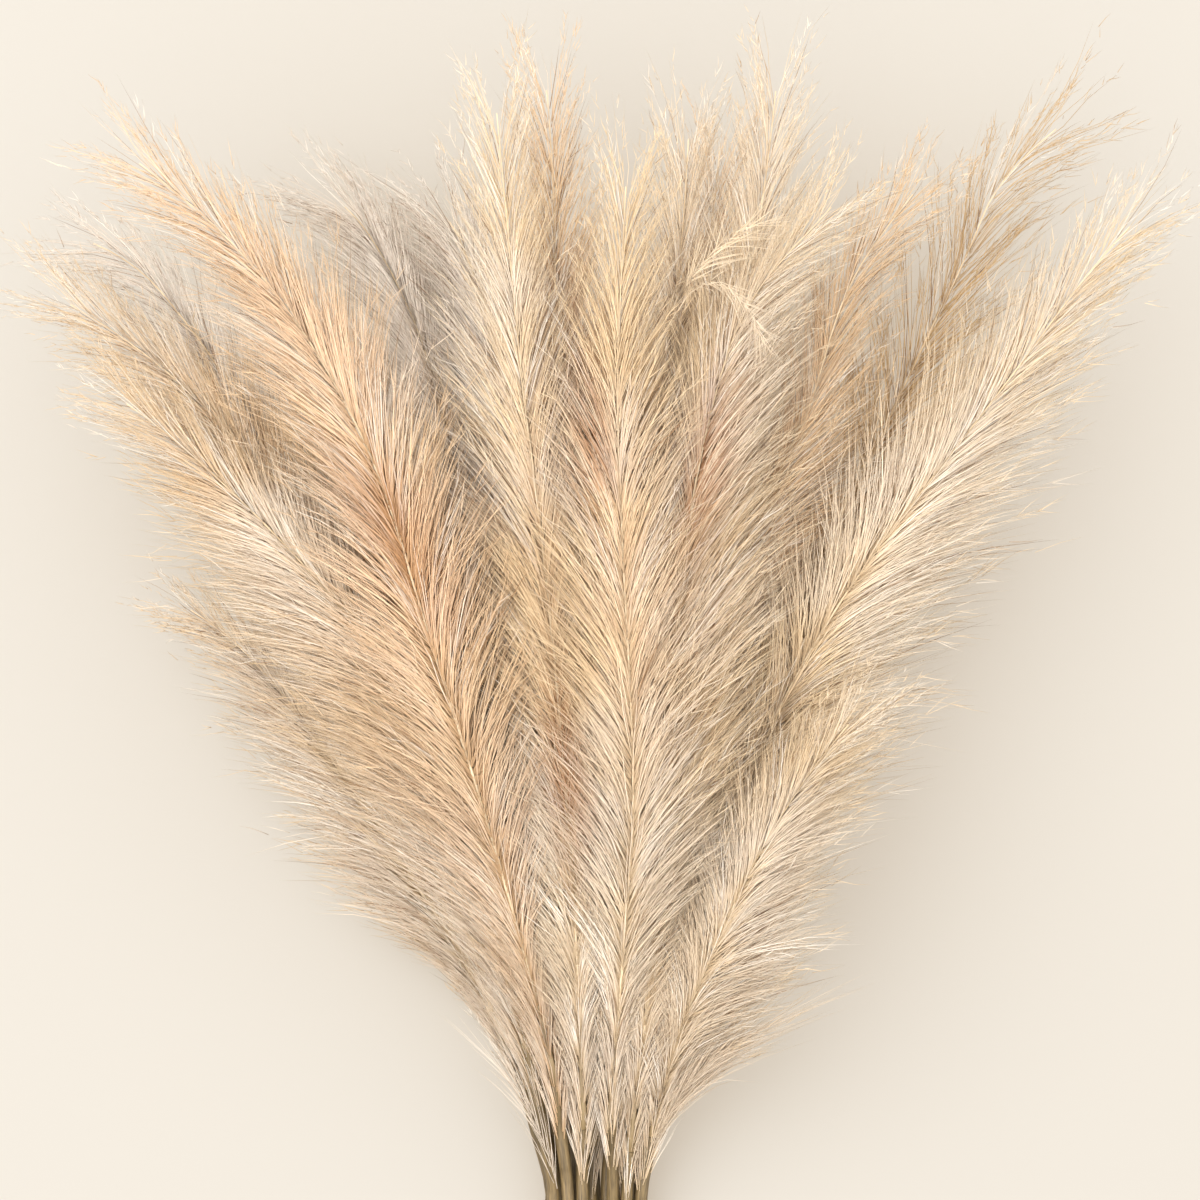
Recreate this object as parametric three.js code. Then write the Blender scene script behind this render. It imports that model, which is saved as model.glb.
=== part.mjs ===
import * as THREE from "three";

// A bundle of dried pampas grass, laid down: bare culms gathered at one end, plumes fanned out at
// the other. Millimetres. X is across the fan, Y runs from the cut ends to the tips, and Z is up
// from the surface that the bundle lies on.

// The culms: how thick they are, how they lie together, and where they are cut.
const culm = { radius: 3.4, sides: 8, bends: 5, pitch: 7.4, rowStep: 6.41, middle: -2 };
const cut = { y: -700, uneven: 9, wave: 2.4 };
const waist = { y: -370, lead: 22, bends: 4 };

// The three layers of the fan: how high each one's plumes lie, and how far on they reach it.
const layerHeight = [36, 78, 118];
const layerRise = 370;

// The plumes: a slim three-cornered rachis whose rings turn by a fixed angle, so that a branch can
// grow from every second face of it, and the branches. Those on top lie down by a share of their rise.
const rachis = { base: 3.2, slim: 2, tip: 0.8, slimAt: 0.07, rings: 29, corners: 3, end: 0.9 };
const ringTurn = THREE.MathUtils.degToRad(77);
const branch = { length: 98, uneven: 0.12, widestAt: 0.5, thick: 2.2, thickByReach: 0.42, flatter: 0.36 };
const branchWidth = { most: 7, atRoot: 0.6, byReach: 0.45, least: 1, closeToMost: 0.98 };
const fullness = { atFoot: 0.5, fullFrom: 0.3, lessFrom: 0.55, lostAtTip: 0.4 };

// How a branch leans, as an angle at its root that opens towards its tip, and how it is bent in to
// keep a gap to the neighbouring stalks and to the branches behind it.
const lean = { leaving: 0.3, opening: 0.3, atTip: 0.6, tipFrom: 0.7, mostGain: 1.7 };
const crowd = { gap: 0.7, easeOff: 0.93, tries: 36, fullWidthTries: 10, checks: 7, leastReach: 1.5 };

// The gap between a culm and the plume that stands on it.
const seatGap = 0.3;

// How finely the axes are drawn and measured.
const fine = { routeStep: 24, lengthDivisions: 600, marks: 140, halvings: 30 };

// The middle of the finished bundle's footprint, from the point that the routes are measured from.
const middle = { x: 3, y: -209 };

const colours = { culm: 0xa08a62, cream: 0xf0dcc0, peach: 0xe9c79c, beige: 0xe8cfae, taupe: 0xc9b49c };

// One row for each stalk, left to right in its layer: its plume's colour, where the plume begins,
// how far it lies above or below its layer, its branches' length against the usual, and the route
// of its axis across the fan, from the gathered culms to the tip.
const stalks = [
  {
    layer: 0, colour: "beige", plumeFrom: -232, lift: -6, fluff: 0.72,
    route: [[-25.5, -300], [-47, -228], [-122, -100], [-185, -21], [-228, 8]],
  },
  {
    layer: 0, colour: "taupe", plumeFrom: -240, lift: 2, fluff: 0.95,
    route: [[-18, -300], [-34, -235], [-88, -70], [-155, 55], [-205, 135], [-240, 172], [-296, 192]],
  },
  {
    layer: 0, colour: "taupe", plumeFrom: -245, lift: -4, fluff: 0.95,
    route: [[-10.5, -300], [-19, -235], [-46, -60], [-78, 92], [-98, 150], [-125, 195], [-162, 222]],
  },
  {
    layer: 0, colour: "taupe", plumeFrom: -240, lift: 4, fluff: 0.95,
    route: [[-3, -300], [-7, -235], [-20, -60], [-42, 80], [-70, 180], [-98, 222]],
  },
  {
    layer: 0, colour: "peach", plumeFrom: -240, lift: -3, fluff: 1,
    route: [[8, -300], [10, -235], [24, -90], [38, 30], [50, 130], [58, 204], [65, 268]],
  },
  {
    layer: 0, colour: "beige", plumeFrom: -262, lift: 0, fluff: 1,
    route: [[16, -300], [25, -250], [45, -180], [86, -60], [132, 60], [184, 172], [203, 211], [267, 268]],
  },
  {
    layer: 1, colour: "beige", plumeFrom: -226, lift: -4, fluff: 0.97,
    route: [[-20, -300], [-40, -230], [-92, -70], [-150, 35], [-196, 95], [-237, 130], [-298, 167]],
  },
  {
    layer: 1, colour: "peach", plumeFrom: -250, lift: 6, fluff: 0.95,
    route: [[-12.5, -300], [-13, -235], [-18, -60], [-21, 80], [-24, 220], [-31, 298]],
  },
  {
    layer: 1, colour: "cream", plumeFrom: -278, lift: -2, fluff: 1,
    route: [[-4.5, -300], [-2, -250], [4, -190], [14, -80], [29, 60], [42, 196], [46, 275]],
  },
  {
    layer: 1, colour: "cream", plumeFrom: -248, lift: 4, fluff: 1,
    route: [[3.5, -300], [9, -235], [34, -80], [57, 60], [78, 180], [87, 250], [91, 298]],
  },
  {
    layer: 1, colour: "peach", plumeFrom: -286, lift: -4, fluff: 1,
    route: [[11, -300], [16, -262], [38, -150], [76, 33], [102, 90], [125, 158], [158, 205], [184, 238]],
  },
  {
    layer: 1, colour: "cream", plumeFrom: -272, lift: 2, fluff: 1.05,
    route: [[18.5, -300], [25, -262], [46, -165], [76, -83], [115, -8], [202, 108], [257, 179], [298, 217]],
  },
  {
    layer: 2, colour: "beige", plumeFrom: -228, lift: -10, fluff: 1,
    route: [[-24, -300], [-36.5, -228], [-90, -63], [-126, -6], [-205, 75], [-262, 117]],
  },
  {
    layer: 2, colour: "peach", plumeFrom: -245, lift: 6, fluff: 1.05,
    route: [[-16.5, -300], [-25.5, -232], [-46.5, -143], [-83, -20], [-117, 81], [-172, 166], [-262, 243]],
  },
  {
    layer: 2, colour: "cream", plumeFrom: -268, lift: 0, fluff: 1,
    route: [[-9, -300], [-9, -262], [-15, -120], [-29.5, 39], [-37.5, 100], [-47, 200], [-55, 285]],
  },
  {
    layer: 2, colour: "cream", plumeFrom: -262, lift: 8, fluff: 1,
    route: [[6.5, -300], [6.5, -250], [13, -157], [16.5, -100], [11, 28], [8.5, 100], [12, 190], [15, 245]],
  },
  {
    layer: 2, colour: "cream", plumeFrom: -280, lift: -6, fluff: 1,
    route: [[14, -300], [17, -262], [32, -130], [44, 40], [66, 130], [81, 157], [111, 190], [142, 228]],
  },
  {
    layer: 2, colour: "cream", plumeFrom: -272, lift: 4, fluff: 0.78,
    route: [[21.5, -300], [27, -271], [41, -215], [59, -169], [78, -127], [102, -87], [136, -44]],
  },
];
const perLayer = 6;

function ease(share) {
  return THREE.MathUtils.smoothstep(share, 0, 1);
}

// Where stalk number i lies among the gathered culms, each layer in the grooves of the one below.
function slotOf(i) {
  const layer = stalks[i].layer;
  const shift = layer === 1 ? culm.pitch / 2 : 0;
  const column = (i % perLayer) - (perLayer - 1) / 2;
  const low = culm.radius * Math.cos(Math.PI / culm.sides);
  return { x: culm.middle + shift + column * culm.pitch, z: low + layer * culm.rowStep };
}

function heightAt(i, y) {
  const top = layerHeight[stalks[i].layer] + stalks[i].lift;
  return THREE.MathUtils.lerp(slotOf(i).z, top, ease((y - waist.y) / layerRise));
}

function cutAt(i) {
  return cut.y + cut.uneven * Math.sin(cut.wave * i);
}

// The gathered stretch: straight from the cut to the waist, then easing over to where the route starts.
function gathered(i) {
  const { x, z } = slotOf(i);
  const [start] = stalks[i].route;
  const points = [cutAt(i), waist.y - waist.lead].map((y) => new THREE.Vector3(x, y, z));
  for (let k = 0; k < waist.bends; k += 1) {
    const y = THREE.MathUtils.lerp(waist.y, start[1], k / waist.bends);
    const across = THREE.MathUtils.lerp(x, start[0], ease(k / waist.bends));
    points.push(new THREE.Vector3(across, y, heightAt(i, y)));
  }
  return points;
}

// The whole axis of a stalk, from its cut end to its tip.
function axisOf(i) {
  const spread = stalks[i].route.map(([x, y]) => new THREE.Vector3(x, y, 0));
  const route = new THREE.CatmullRomCurve3(spread).getSpacedPoints(stepsOn(spread));
  route.forEach((point) => point.setZ(heightAt(i, point.y)));
  return new THREE.CatmullRomCurve3([...gathered(i), ...route]);
}

function stepsOn(points) {
  const straight = points[0].distanceTo(points[points.length - 1]);
  return Math.round(straight / fine.routeStep);
}

// The share of the axis's length at which it passes the given y.
function shareAtY(curve, y) {
  let low = 0;
  let high = 1;
  for (let k = 0; k < fine.halvings; k += 1) {
    const half = (low + high) / 2;
    if (curve.getPointAt(half).y < y) {
      low = half;
    } else {
      high = half;
    }
  }
  return low;
}

const axes = stalks.map((stalk, i) => {
  const curve = axisOf(i);
  curve.arcLengthDivisions = fine.lengthDivisions;
  const length = curve.getLength();
  const marks = curve.getSpacedPoints(fine.marks);
  return { curve, length, from: shareAtY(curve, stalk.plumeFrom), marks };
});

// A point on the axis, carried on in a straight line past the tip.
function along(axis, share) {
  const point = axis.curve.getPointAt(Math.min(share, 1));
  if (share > 1) {
    point.addScaledVector(axis.curve.getTangentAt(1), (share - 1) * axis.length);
  }
  return point;
}

function distanceTo(axis, point) {
  const span = new THREE.Line3();
  const nearest = new THREE.Vector3();
  let least = Infinity;
  for (let k = 1; k < axis.marks.length; k += 1) {
    span.set(axis.marks[k - 1], axis.marks[k]).closestPointToPoint(point, true, nearest);
    least = Math.min(least, nearest.distanceToSquared(point));
  }
  return Math.sqrt(least);
}

// How far a point is from the ground that a neighbouring stalk holds: half the difference of its
// distances to that stalk's axis and to its own.
function roomAt(i, point) {
  const own = distanceTo(axes[i], point);
  let least = Infinity;
  axes.forEach((axis, j) => {
    if (j !== i) {
      least = Math.min(least, (distanceTo(axis, point) - own) / 2);
    }
  });
  return least;
}

// A closed tube through rings of corners.
function tube(rings) {
  const sides = rings[0].length;
  const faces = [];
  for (let k = 1; k < rings.length; k += 1) {
    for (let s = 0; s < sides; s += 1) {
      const a = (k - 1) * sides + s;
      const b = (k - 1) * sides + ((s + 1) % sides);
      faces.push(a, b, b + sides, a, b + sides, a + sides);
    }
  }
  closeEnds(faces, sides, rings.length);
  return fromCorners(rings.flat(), faces);
}

function closeEnds(faces, sides, ringCount) {
  const last = (ringCount - 1) * sides;
  for (let s = 2; s < sides; s += 1) {
    faces.push(0, s, s - 1, last, last + s - 1, last + s);
  }
}

function fromCorners(corners, faces) {
  const geometry = new THREE.BufferGeometry().setFromPoints(corners);
  geometry.setIndex(faces);
  geometry.computeVertexNormals();
  return geometry;
}

// A ring of corners round the axis. The first corner is turned by the given angle from straight up.
function ringRound(axis, share, radius, sides, turned) {
  const centre = axis.curve.getPointAt(share);
  const tangent = axis.curve.getTangentAt(share);
  const side = new THREE.Vector3(0, 0, 1).cross(tangent).normalize();
  const over = new THREE.Vector3().crossVectors(tangent, side);
  return Array.from({ length: sides }, (_, s) => {
    const turn = turned + (2 * Math.PI * s) / sides;
    const corner = centre.clone().addScaledVector(over, radius * Math.cos(turn));
    return corner.addScaledVector(side, -radius * Math.sin(turn));
  });
}

// A culm, with one of its flat sides down.
function culmGeometry(i) {
  const axis = axes[i];
  const bend = shareAtY(axis.curve, waist.y - waist.lead);
  const end = axis.from - seatGap / axis.length;
  const shares = [0];
  for (let k = 0; k <= culm.bends; k += 1) {
    shares.push(THREE.MathUtils.lerp(bend, end, k / culm.bends));
  }
  const halfSide = Math.PI / culm.sides;
  return tube(shares.map((share) => ringRound(axis, share, culm.radius, culm.sides, halfSide)));
}

function rachisRadius(t) {
  if (t < rachis.slimAt) {
    return THREE.MathUtils.lerp(rachis.base, rachis.slim, ease(t / rachis.slimAt));
  }
  return THREE.MathUtils.lerp(rachis.slim, rachis.tip, (t - rachis.slimAt) / (1 - rachis.slimAt));
}

// How long the branches are along the plume, from its pointed foot (0) to its last ring (1).
function fullnessAt(t) {
  const filled = THREE.MathUtils.lerp(fullness.atFoot, 1, ease(t / fullness.fullFrom));
  return filled - fullness.lostAtTip * ease((t - fullness.lessFrom) / (1 - fullness.lessFrom));
}

function openness(t) {
  return THREE.MathUtils.lerp(1, lean.atTip, ease((t - lean.tipFrom) / (1 - lean.tipFrom)));
}

// The middle line of a branch. It leaves the rachis at a small angle and opens outwards.
function branchLine(axis, share, outwards, length, radius) {
  return (leaning, s) => {
    const angle = leaning * (lean.leaving + lean.opening * s);
    const point = along(axis, share + (length * s * Math.cos(angle)) / axis.length);
    const reach = length * s * Math.sin(angle);
    point.addScaledVector(outwards, radius + reach);
    point.z -= branch.flatter * reach * Math.max(outwards.z, 0);
    return point.setZ(Math.max(point.z, 0));
  };
}

// How far a branch leans, and how wide it is, so that it keeps clear of the neighbouring stalks:
// one that would cross another plume is bent towards its own rachis.
function fitBranch(i, line, length, mostLean) {
  let leaning = mostLean;
  for (let attempt = 0; attempt < crowd.tries; attempt += 1) {
    let room = Infinity;
    for (let k = 1; k <= crowd.checks; k += 1) {
      room = Math.min(room, roomAt(i, line(leaning, k / crowd.checks)));
    }
    const angle = leaning * (lean.leaving + lean.opening * branch.widestAt);
    const reach = length * branch.widestAt * Math.sin(angle);
    const widest = Math.min(branchWidth.most, branchWidth.atRoot + branchWidth.byReach * reach);
    const width = Math.min(widest, 2 * (room - crowd.gap));
    const thick = Math.min(branch.thick, branch.thickByReach * reach);
    if (reach < crowd.leastReach) {
      return null;
    }
    const isWide = width > branchWidth.closeToMost * widest;
    if (isWide || (attempt >= crowd.fullWidthTries && width > branchWidth.least)) {
      return { leaning, width, thick };
    }
    leaning *= crowd.easeOff;
  }
  return null;
}

// The four corners of a branch beyond its root: three round its widest place, and its tip.
function branchCorners(line, fit, across) {
  const centre = line(fit.leaning, branch.widestAt);
  const tip = line(fit.leaning, 1);
  const ahead = tip.clone().sub(line(fit.leaning, 0)).normalize();
  const side = across.clone().addScaledVector(ahead, -across.dot(ahead)).normalize();
  const over = new THREE.Vector3().crossVectors(side, ahead);
  const upper = centre.clone().addScaledVector(over, fit.thick / 3);
  const left = upper.clone().addScaledVector(side, -fit.width / 2);
  const right = upper.clone().addScaledVector(side, fit.width / 2);
  const under = centre.clone().addScaledVector(over, (-2 * fit.thick) / 3);
  const corners = [left, right, under, tip];
  corners.forEach((corner) => corner.setZ(Math.max(corner.z, 0)));
  return corners;
}

// A branch grown from the face of the rachis with these three corners, or null if it has no room.
function growBranch(i, t, root, mostLean, size) {
  const axis = axes[i];
  const share = THREE.MathUtils.lerp(axis.from, 1, t * rachis.end);
  const middleOfRoot = root[0].clone().add(root[1]).add(root[2]).divideScalar(3);
  const outwards = middleOfRoot.sub(axis.curve.getPointAt(share));
  const tangent = axis.curve.getTangentAt(share);
  outwards.addScaledVector(tangent, -outwards.dot(tangent)).normalize();
  const length = branch.length * stalks[i].fluff * fullnessAt(t) * size;
  const line = branchLine(axis, share, outwards, length, rachisRadius(t));
  const fit = fitBranch(i, line, length, Math.min(openness(t), mostLean));
  const across = root[1].clone().sub(root[0]);
  return fit && { leaning: fit.leaning, corners: branchCorners(line, fit, across) };
}

// Four new corners joined to the face they grow from: three walls, then three faces to the tip.
function joinBranch(faces, [a, b, c], first) {
  const [left, right, under, tip] = [first, first + 1, first + 2, first + 3];
  faces.push(a, b, right, a, right, left);
  faces.push(b, c, right, c, under, right);
  faces.push(c, a, left, c, left, under);
  faces.push(left, right, tip, right, under, tip, under, left, tip);
}

// The least lean of the branches that stand nearly in line behind this one on the rachis. A branch
// that opened much wider than they do would run into them.
function leanBehind(leanings, m, s) {
  const behind = [[1, 1], [2, 1], [3, 2]].map(([rings, corners]) => {
    const corner = (s + corners) % rachis.corners;
    return leanings.get(`${m - rings},${corner}`) ?? Infinity;
  });
  return Math.min(...behind);
}

// A plume: its rachis, and a branch from each face of it that has two corners on the lower ring.
function plumeGeometry(i, random) {
  const corners = [];
  for (let m = 0; m < rachis.rings; m += 1) {
    const t = m / (rachis.rings - 1);
    const share = THREE.MathUtils.lerp(axes[i].from, 1, t * rachis.end);
    corners.push(...ringRound(axes[i], share, rachisRadius(t), rachis.corners, m * ringTurn));
  }
  const faces = [];
  const leanings = new Map();
  closeEnds(faces, rachis.corners, rachis.rings);
  for (let m = 1; m < rachis.rings; m += 1) {
    const t = (m - 0.6) / (rachis.rings - 1);
    for (let s = 0; s < rachis.corners; s += 1) {
      const next = (s + 1) % rachis.corners;
      const [a, b] = [(m - 1) * rachis.corners + s, (m - 1) * rachis.corners + next];
      const [c, d] = [m * rachis.corners + s, m * rachis.corners + next];
      faces.push(c, b, d);
      const size = 1 + branch.uneven * (random() - 0.5);
      const root = [corners[a], corners[b], corners[c]];
      const grown = growBranch(i, t, root, lean.mostGain * leanBehind(leanings, m, s), size);
      if (grown) {
        joinBranch(faces, [a, b, c], corners.length);
        corners.push(...grown.corners);
        leanings.set(`${m},${s}`, grown.leaning);
      } else {
        faces.push(a, b, c);
      }
    }
  }
  return fromCorners(corners, faces);
}

// A small seeded generator, so that every build is the same.
function seeded(seed) {
  let state = seed;
  return () => {
    state = (state * 48271) % 2147483647;
    return state / 2147483647;
  };
}

function material(colour, roughness) {
  return new THREE.MeshStandardMaterial({ color: colour, roughness, metalness: 0 });
}

const bundle = new THREE.Group();
stalks.forEach((stalk, i) => {
  const number = String(i + 1).padStart(2, "0");
  const stem = new THREE.Mesh(culmGeometry(i), material(colours.culm, 0.6));
  stem.name = `stem_${number}`;
  const plume = new THREE.Mesh(plumeGeometry(i, seeded(101 + i)), material(colours[stalk.colour], 0.9));
  plume.name = `plume_${number}`;
  bundle.add(stem, plume);
});
bundle.position.set(-middle.x, -middle.y, 0);

export default bundle;
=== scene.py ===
import math
import bmesh
import bpy
import numpy as np
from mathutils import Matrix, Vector


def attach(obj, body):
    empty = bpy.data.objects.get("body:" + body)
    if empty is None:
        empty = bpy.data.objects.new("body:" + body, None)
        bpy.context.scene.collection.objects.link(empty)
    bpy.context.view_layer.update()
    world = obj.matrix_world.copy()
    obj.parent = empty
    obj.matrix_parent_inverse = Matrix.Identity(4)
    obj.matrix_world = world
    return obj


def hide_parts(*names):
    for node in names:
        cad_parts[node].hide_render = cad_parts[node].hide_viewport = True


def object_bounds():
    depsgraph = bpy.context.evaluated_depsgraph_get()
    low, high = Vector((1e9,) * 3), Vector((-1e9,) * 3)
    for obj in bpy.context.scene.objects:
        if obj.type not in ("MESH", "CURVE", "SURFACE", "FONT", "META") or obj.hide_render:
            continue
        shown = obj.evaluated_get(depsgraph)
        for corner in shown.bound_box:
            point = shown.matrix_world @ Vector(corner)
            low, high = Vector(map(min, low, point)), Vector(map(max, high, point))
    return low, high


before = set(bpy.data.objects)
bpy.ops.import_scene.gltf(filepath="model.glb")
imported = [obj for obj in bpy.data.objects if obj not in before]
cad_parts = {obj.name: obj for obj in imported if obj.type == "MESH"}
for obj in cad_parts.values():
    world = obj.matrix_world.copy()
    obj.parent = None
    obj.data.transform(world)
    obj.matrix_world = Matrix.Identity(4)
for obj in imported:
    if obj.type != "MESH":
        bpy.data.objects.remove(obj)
cadLow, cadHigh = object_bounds()
print("frame loaded:", len(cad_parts), "nodes")

# The bundle is worked out in millimetres from the point that the stalks' routes are measured from,
# and put into the frame's metres as each mesh is made.
mm = 0.001
middle = np.array([3.0, -209.0, 0.0])

sheaf = {"radius": 3.4, "sides": 8, "pitch": 7.4, "rowStep": 6.41, "middle": -2}
cutEnds = {"y": -700, "uneven": 9, "wave": 2.4}
waist = {"y": -370, "lead": 22, "bends": 4}
layers = {"heights": (36, 78, 118), "rise": 370, "stalks": 6, "crest": 24, "crestOver": 110}
drawing = {"curveSteps": 40, "routeStep": 24, "axisPoints": 800, "marks": 140}

# One row for each stalk, left to right in its layer. foot is where its plume begins, lift its height
# against its layer's, and fluff and hairs its hairs' length and number against the usual. A plume may
# also be full from, or thin from, a share of its length that is its own, and have a hue of its own.
stalks = [
    {"layer": 0, "tint": "beige", "foot": -232, "lift": -6, "fluff": 0.72, "hairs": 0.7,
     "route": [(-25.5, -300), (-47, -228), (-122, -100), (-185, -21), (-228, 8)]},
    {"layer": 0, "tint": "taupe", "foot": -240, "lift": 2, "fluff": 0.95, "hairs": 0.9,
     "route": [(-18, -300), (-34, -235), (-88, -70), (-155, 55), (-205, 135), (-240, 172), (-296, 192)]},
    {"layer": 0, "tint": "taupe", "foot": -245, "lift": -4, "fluff": 1.1, "hairs": 1.25, "thinFrom": 0.8,
     "route": [(-10.5, -300), (-19, -235), (-46, -60), (-78, 92), (-98, 150), (-125, 195), (-162, 222)]},
    {"layer": 0, "tint": "taupe", "foot": -240, "lift": 4, "fluff": 1.1, "hairs": 1.25, "thinFrom": 0.8,
     "route": [(-3, -300), (-7, -235), (-20, -60), (-42, 80), (-70, 180), (-98, 222)]},
    {"layer": 0, "tint": "peach", "foot": -240, "lift": -3, "fluff": 1, "hairs": 0.8,
     "route": [(8, -300), (10, -235), (24, -90), (38, 30), (50, 130), (58, 204), (65, 268)]},
    {"layer": 0, "tint": "beige", "foot": -262, "lift": 0, "fluff": 1.15, "hairs": 0.7, "thinFrom": 0.3,
     "hue": "tan",
     "route": [(16, -300), (25, -250), (45, -180), (86, -60), (132, 60), (184, 172), (203, 211),
               (267, 268)]},
    {"layer": 1, "tint": "beige", "foot": -226, "lift": -4, "fluff": 1, "hairs": 1,
     "route": [(-20, -300), (-40, -230), (-92, -70), (-150, 35), (-196, 95), (-237, 130), (-298, 167)]},
    {"layer": 1, "tint": "peach", "foot": -250, "lift": 6, "fluff": 0.95, "hairs": 1,
     "route": [(-12.5, -300), (-13, -235), (-18, -60), (-21, 80), (-24, 220), (-31, 298)]},
    {"layer": 1, "tint": "cream", "foot": -278, "lift": -2, "fluff": 1, "hairs": 1,
     "route": [(-4.5, -300), (-2, -250), (4, -190), (14, -80), (29, 60), (42, 196), (46, 275)]},
    {"layer": 1, "tint": "cream", "foot": -248, "lift": 4, "fluff": 1, "hairs": 1,
     "route": [(3.5, -300), (9, -235), (34, -80), (57, 60), (78, 180), (87, 250), (91, 298)]},
    {"layer": 1, "tint": "peach", "foot": -286, "lift": -4, "fluff": 1, "hairs": 1, "thinFrom": 0.5,
     "route": [(11, -300), (16, -262), (38, -150), (76, 33), (102, 90), (125, 158), (158, 205),
               (184, 238)]},
    {"layer": 1, "tint": "cream", "foot": -272, "lift": 2, "fluff": 1.12, "hairs": 1.05,
     "route": [(18.5, -300), (25, -262), (46, -165), (76, -83), (115, -8), (202, 108), (257, 179),
               (298, 217)]},
    {"layer": 2, "tint": "beige", "foot": -228, "lift": -10, "fluff": 1, "hairs": 1.15,
     "route": [(-24, -300), (-36.5, -228), (-90, -63), (-126, -6), (-205, 75), (-262, 117)]},
    {"layer": 2, "tint": "peach", "foot": -245, "lift": 6, "fluff": 1.05, "hairs": 1.2,
     "route": [(-16.5, -300), (-25.5, -232), (-46.5, -143), (-83, -20), (-117, 81), (-172, 166),
               (-262, 243)]},
    {"layer": 2, "tint": "cream", "foot": -268, "lift": 0, "fluff": 1, "hairs": 1.2,
     "route": [(-9, -300), (-9, -262), (-15, -120), (-29.5, 39), (-37.5, 100), (-47, 200), (-55, 285)]},
    {"layer": 2, "tint": "cream", "foot": -262, "lift": 8, "fluff": 1, "hairs": 1.2,
     "route": [(6.5, -300), (6.5, -250), (13, -157), (16.5, -100), (11, 28), (8.5, 100), (12, 190),
               (15, 245)]},
    {"layer": 2, "tint": "cream", "foot": -280, "lift": -6, "fluff": 1, "hairs": 1.2,
     "route": [(14, -300), (17, -262), (32, -130), (44, 40), (66, 130), (81, 157), (111, 190),
               (142, 228)]},
    {"layer": 2, "tint": "cream", "foot": -272, "lift": 4, "fluff": 0.8, "hairs": 0.85, "fullFrom": 0.08,
     "route": [(21.5, -300), (27, -271), (41, -215), (59, -169), (78, -127), (102, -87), (136, -44)]},
]


def ease(share):
    share = np.clip(share, 0, 1)
    return share * share * (3 - 2 * share)


def mix(low, high, share):
    return low + (high - low) * share


# Points at even steps along a line of points.
def evenly(line, count):
    steps = np.linalg.norm(np.diff(line, axis=0), axis=1)
    reached = np.concatenate([[0], np.cumsum(steps)])
    wanted = np.linspace(0, reached[-1], count + 1)
    return np.stack([np.interp(wanted, reached, line[:, k]) for k in range(line.shape[1])], axis=1)


# Even points on a centripetal Catmull-Rom curve.
def smoothLine(points, count):
    points = np.asarray(points, float)
    ends = np.vstack([2 * points[0] - points[1], points, 2 * points[-1] - points[-2]])
    gaps = np.sqrt(np.linalg.norm(np.diff(ends, axis=0), axis=1))
    share = np.linspace(0, 1, drawing["curveSteps"], endpoint=False)[:, None]
    pieces = []
    for k in range(len(points) - 1):
        before, start, end, after = ends[k:k + 4]
        g0, g1, g2 = gaps[k:k + 3]
        leaving = ((start - before) / g0 - (end - before) / (g0 + g1) + (end - start) / g1) * g1
        arriving = ((end - start) / g1 - (after - start) / (g1 + g2) + (after - end) / g2) * g1
        square = 3 * (end - start) - 2 * leaving - arriving
        cube = 2 * (start - end) + leaving + arriving
        pieces.append(start + share * (leaving + share * (square + share * cube)))
    return evenly(np.vstack(pieces + [points[-1:]]), count)


# Where a stalk lies in the gathered sheaf, each layer in the grooves of the one below.
def slotOf(i):
    layer = stalks[i]["layer"]
    shift = sheaf["pitch"] / 2 if layer == 1 else 0
    column = i % layers["stalks"] - (layers["stalks"] - 1) / 2
    low = sheaf["radius"] * math.cos(math.pi / sheaf["sides"])
    return sheaf["middle"] + shift + column * sheaf["pitch"], low + layer * sheaf["rowStep"]


# The stem of a plume that lies down runs along its top, and its hairs hang from there.
def heightAt(i, y):
    top = layers["heights"][stalks[i]["layer"]] + stalks[i]["lift"]
    crest = layers["crest"] * ease((y - stalks[i]["foot"]) / layers["crestOver"])
    return mix(slotOf(i)[1], top, ease((y - waist["y"]) / layers["rise"])) + crest


# The axis of a stalk from its cut end to its tip: straight in the sheaf, then out along its route.
def axisLine(i):
    x, z = slotOf(i)
    route = np.array(stalks[i]["route"], float)
    cutY = cutEnds["y"] + cutEnds["uneven"] * math.sin(cutEnds["wave"] * i)
    points = [(x, cutY, z), (x, waist["y"] - waist["lead"], z)]
    for k in range(waist["bends"]):
        share = k / waist["bends"]
        y = mix(waist["y"], route[0][1], share)
        points.append((mix(x, route[0][0], ease(share)), y, heightAt(i, y)))
    chord = np.linalg.norm(route[-1] - route[0])
    spread = smoothLine(route, round(chord / drawing["routeStep"]))
    points += [(a, b, heightAt(i, b)) for a, b in spread]
    return smoothLine(points, drawing["axisPoints"])


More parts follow.
